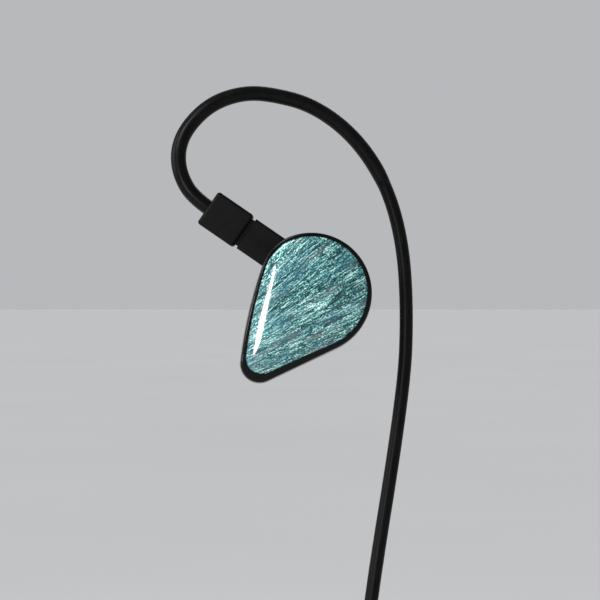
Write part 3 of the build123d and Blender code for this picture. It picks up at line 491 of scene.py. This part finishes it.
def main_end_route():
    y = HANK_Y + MAIN_HALF
    right = HANK_X + MAIN_OUTER_R
    return [
        (right, y, HANK_FOOT + 8), (right, y, HANK_FOOT - 3),
        (right + 2.6, y, HANK_FOOT - 13), (right + 2.6, y, HANK_FOOT - 22),
    ]


RIGHT_ANGLE = math.radians(68)
RIGHT_FACE = (-38.0, 17.0, -112.0)


def right_point(back):
    """A point on the right plug's axis, a distance back from its outer face."""
    x, y, z = RIGHT_FACE
    return (x + math.cos(RIGHT_ANGLE) * back, y, z - math.sin(RIGHT_ANGLE) * back)


def right_hook_route():
    x, y = HANK_X - LEG_OUTER_R, HANK_Y + LEG_MIDDLE
    return [
        (x - 0.6, y + 2.4, HANK_FOOT - 13), (x - 2.2, y + 4.0, HANK_FOOT - 20),
        (x - 6.4, y + 4.6, HANK_FOOT - 25.4), (x - 12.4, y + 4.7, HANK_FOOT - 27.4),
        (x - 18.2, y + 4.65, HANK_FOOT - 26.0), right_point(4.6), right_point(-CORD_SINK),
    ]


def right_upper_route():
    x, y = HANK_X - LEG_OUTER_R, HANK_Y + LEG_MIDDLE
    return [(x, y, HANK_FOOT + 8), (x, y + 0.4, HANK_FOOT - 3)] + right_hook_route()


def hank_side(side, cell, ways):
    """Points up or down one straight side of the hank."""
    radius, aside = cell
    return [(HANK_X + side * radius, HANK_Y + aside, HANK_Z + way * HANK_STRAIGHT / 4) for way in ways]


def hank_arc(end, first, before, after):
    """Half a turn round the top or bottom fold, from one side, between two cells."""
    points = []
    for step in range(ARC_STEPS):
        angle = math.pi * (step + 0.5) / ARC_STEPS
        share = (step + 0.5) / ARC_STEPS
        radius = before[0] + (after[0] - before[0]) * share
        aside = before[1] + (after[1] - before[1]) * share
        reach = radius / math.cos(math.pi / 2 / ARC_STEPS)
        points.append((
            HANK_X + first * reach * math.cos(angle),
            HANK_Y + aside,
            HANK_Z + end * (HANK_STRAIGHT / 2 + reach * math.sin(angle)),
        ))
    return points


def left_cord_route():
    """Down into the hank's right side, inwards turn by turn, and out to the splitter."""
    cells = [(radius, -aside) for radius, aside in LEG_CELLS]
    points = left_upper_route() + hank_side(1, cells[0], (1, -1))
    for before, after in zip(cells, cells[1:]):
        points += hank_arc(-1, 1, before, after)
        points += hank_side(-1, after, (-1, 1)) + hank_arc(1, -1, after, after)
        points += hank_side(1, after, (1,) if after is cells[-1] else (1, -1))
    return points + leg_lower_route(-1)


def right_cord_route():
    """Up from the splitter, outwards turn by turn, and out at the left to the free hook."""
    cells = LEG_CELLS[::-1]
    points = leg_lower_route(1)[::-1] + hank_side(1, cells[0], (1,))
    for before, after in zip(cells, cells[1:]):
        points += hank_arc(1, 1, before, before) + hank_side(-1, before, (1, -1))
        points += hank_arc(-1, -1, before, after) + hank_side(1, after, (-1, 1))
    points += hank_arc(1, 1, cells[-1], cells[-1]) + hank_side(-1, cells[-1], (1,))
    return points + right_upper_route()


def main_cord_route():
    """Up from its loop into the hank, inwards and outwards again, and out to the jack."""
    points = main_lower_route() + hank_side(-1, MAIN_CELLS[0], (0, 1))
    for before, after in zip(MAIN_CELLS, MAIN_CELLS[1:]):
        points += hank_arc(1, -1, before, before) + hank_side(1, before, (1, -1))
        points += hank_arc(-1, 1, before, after) + hank_side(-1, after, (-1, 1))
    last = MAIN_CELLS[-1]
    points += hank_arc(1, -1, last, last) + hank_side(1, last, (1, 0))
    return points + main_end_route()


def nurbs(name, points, thickness=0.0):
    """One open NURBS curve through the given control points."""
    curve = bpy.data.curves.new(name, "CURVE")
    curve.dimensions = "3D"
    spline = curve.splines.new("NURBS")
    spline.points.add(len(points) - 1)
    for target, point in zip(spline.points, points):
        target.co = (*row(*point), 1.0)
    spline.order_u = 3
    spline.use_endpoint_u = True
    spline.resolution_u = 8
    curve.bevel_depth = thickness * MM / 2
    curve.bevel_resolution = 5
    curve.use_fill_caps = bool(thickness)
    piece = bpy.data.objects.new(name, curve)
    bpy.context.collection.objects.link(piece)
    return piece


def centreline(points):
    """The line of a route's NURBS, as points in metres."""
    bare = nurbs("centreline", points)
    mesh = bpy.data.meshes.new_from_object(bare)
    line = [v.co.copy() for v in mesh.vertices]
    curve = bare.data
    bpy.data.objects.remove(bare)
    bpy.data.curves.remove(curve)
    bpy.data.meshes.remove(mesh)
    return line


def make_cord(name, points, diameter, material, nodes):
    cord = nurbs(name, points, diameter)
    cord.data.materials.append(material)
    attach(cord, "cable")
    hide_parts(*nodes)
    return cord


def sleeve_along(name, line, radii_mm, material, node, sides=28):
    """Closed sleeve round a line, with a radius at each of its points."""
    verts, faces = [], []
    across = Vector((0, 1, 0))
    for i, (point, radius) in enumerate(zip(line, radii_mm)):
        ahead = (line[min(i + 1, len(line) - 1)] - line[max(i - 1, 0)]).normalized()
        side = ahead.cross(across).normalized()
        other = side.cross(ahead)
        for k in range(sides):
            turn = 2 * math.pi * k / sides
            verts.append(point + (side * math.cos(turn) + other * math.sin(turn)) * radius * MM)
    for i in range(len(line) - 1):
        for k in range(sides):
            a, b = i * sides + k, i * sides + (k + 1) % sides
            faces.append((a, a + sides, b + sides, b))
    faces.append(tuple(range(sides)))
    faces.append(tuple(range(len(verts) - 1, len(verts) - sides - 1, -1)))
    mesh = bpy.data.meshes.new(name)
    mesh.from_pydata([v[:] for v in verts], [], faces)
    mesh.shade_smooth()
    mesh.materials.append(material)
    piece = bpy.data.objects.new(name, mesh)
    bpy.context.collection.objects.link(piece)
    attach(piece, "cable")
    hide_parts(node)
    return piece


def nearest(line, point):
    """Index of the line's point closest to a point of the drawing."""
    place = row(*point)
    return min(range(len(line)), key=lambda i: (line[i] - place).length)


def hook_radii(line, open_end):
    """Sleeve radius along the line: even, and drawn in over the cord at its open end."""
    taper = 2.5 * MM
    run = [0.0]
    for a, b in zip(line, line[1:]):
        run.append(run[-1] + (b - a).length)
    radii = []
    for place in run:
        left = place if open_end == "start" else run[-1] - place
        share = min(left / taper, 1.0)
        radii.append(LEG_D / 2 + 0.02 + (SLEEVE_D - LEG_D) / 2 * share)
    return radii


def make_cables(materials):
    left_line = centreline(left_upper_route())
    left_line = left_line[:nearest(left_line, left_hook_route()[-1]) + 1]
    right_line = centreline(right_upper_route())
    right_line = right_line[nearest(right_line, right_hook_route()[0]):]
    left_sleeve = sleeve_along(
        "ear_hook_sleeve_left", left_line, hook_radii(left_line, "end"),
        materials["sleeve_black"], "ear_hook_left",
    )
    right_sleeve = sleeve_along(
        "ear_hook_sleeve_right", right_line, hook_radii(right_line, "start"),
        materials["sleeve_black"], "ear_hook_right",
    )
    make_cord(
        "leg_cord_left", left_cord_route(), LEG_D, materials["cable_black"],
        ("cord_left_upper", "hank_left", "cord_left_lower"),
    )
    make_cord(
        "leg_cord_right", right_cord_route(), LEG_D, materials["cable_black"],
        ("cord_right_lower", "hank_right", "cord_right_upper"),
    )
    make_cord(
        "main_cord", main_cord_route(), MAIN_D, materials["cable_black"],
        ("cord_main_lower", "hank_main", "cord_main_end"),
    )


# ---- camera, floor and light ---------------------------------------------------------------------
VIEW_CENTRE = (-1.2, 0.0, 1.2)
VIEW_WIDTH = 90.0
CAMERA_DISTANCE = 250.0
SENSOR = 36.0


def make_camera():
    data = bpy.data.cameras.new("camera")
    data.sensor_width = SENSOR
    data.lens = SENSOR * CAMERA_DISTANCE / VIEW_WIDTH
    data.clip_start = 0.01
    camera = bpy.data.objects.new("camera", data)
    bpy.context.collection.objects.link(camera)
    x, y, z = VIEW_CENTRE
    camera.location = row(x, y - CAMERA_DISTANCE, z)
    camera.rotation_euler = (math.pi / 2, 0, 0)
    bpy.context.scene.camera = camera


def make_floor():
    low = CAD_BOX[0].z - 1.0 * MM
    size = 30.0
    mesh = bpy.data.meshes.new("floor")
    corners = [(-size, -size), (size, -size), (size, size), (-size, size)]
    mesh.from_pydata([(x, y, low) for x, y in corners], [], [(0, 1, 2, 3)])
    floor = bpy.data.objects.new("floor", mesh)
    bpy.context.collection.objects.link(floor)
    m = Material("floor_paper", Specular_IOR_Level=0.2)
    patch = m.noise(m.coords, 3.0, 2.0)
    mesh.materials.append(m.finish(m.ramp(patch, (0.3, (0.78,) * 3), (0.7, (0.8,) * 3)), 0.9))


def area_light(name, place, size, power, aim=(0, 2, 2), shape="RECTANGLE"):
    """Soft light at a place of the drawing, facing a point of it; sizes in mm."""
    data = bpy.data.lights.new(name, "AREA")
    data.shape = shape
    data.size, data.size_y = (s * MM for s in size)
    data.energy = power
    light = bpy.data.objects.new(name, data)
    bpy.context.collection.objects.link(light)
    light.location = row(*place)
    to = row(*aim) - light.location
    light.rotation_euler = to.to_track_quat("-Z", "Y").to_euler()


def studio_world():
    """Soft grey room, brightest behind the monitor and dimmer on the camera's side."""
    world = bpy.data.worlds.new("studio")
    world.use_nodes = True
    tree = world.node_tree
    coords = tree.nodes.new("ShaderNodeTexCoord")
    split = tree.nodes.new("ShaderNodeSeparateXYZ")
    spread = tree.nodes.new("ShaderNodeMapRange")
    spread.interpolation_type = "SMOOTHSTEP"
    for name, value in (("From Min", -0.6), ("From Max", 0.9), ("To Min", 0.2), ("To Max", 0.5)):
        spread.inputs[name].default_value = value
    background = tree.nodes["Background"]
    background.inputs[0].default_value = (0.95, 0.97, 1.0, 1)
    tree.links.new(coords.outputs["Generated"], split.inputs[0])
    tree.links.new(split.outputs[1], spread.inputs[0])
    tree.links.new(spread.outputs[0], background.inputs[1])
    bpy.context.scene.world = world


def soft_sun(name, direction, strength, spread):
    """Broad even light that shines along a direction; spread in degrees."""
    data = bpy.data.lights.new(name, "SUN")
    data.energy = strength
    data.angle = math.radians(spread)
    light = bpy.data.objects.new(name, data)
    bpy.context.collection.objects.link(light)
    light.rotation_euler = Vector(direction).to_track_quat("-Z", "Y").to_euler()


def make_lights():
    bpy.context.scene.view_settings.view_transform = "Standard"
    studio_world()
    soft_sun("key", (0.45, 0.8, -0.8), 1.75, 25)
    area_light("side", (-420, -60, 160), (120, 320), 0.8)
    area_light("rim", (60, 420, 300), (300, 200), 0.35)
    area_light("strip_low", (-151, -320, 14), (44, 60), 0.22, shape="ELLIPSE")
    area_light("strip_high", (-146, -320, 52), (18, 62), 0.09, shape="ELLIPSE")


def main():
    materials = make_materials()
    dress_nodes(materials)
    make_inlay(materials["teal_fibre"])
    make_cables(materials)
    make_camera()
    make_floor()
    make_lights()


main()
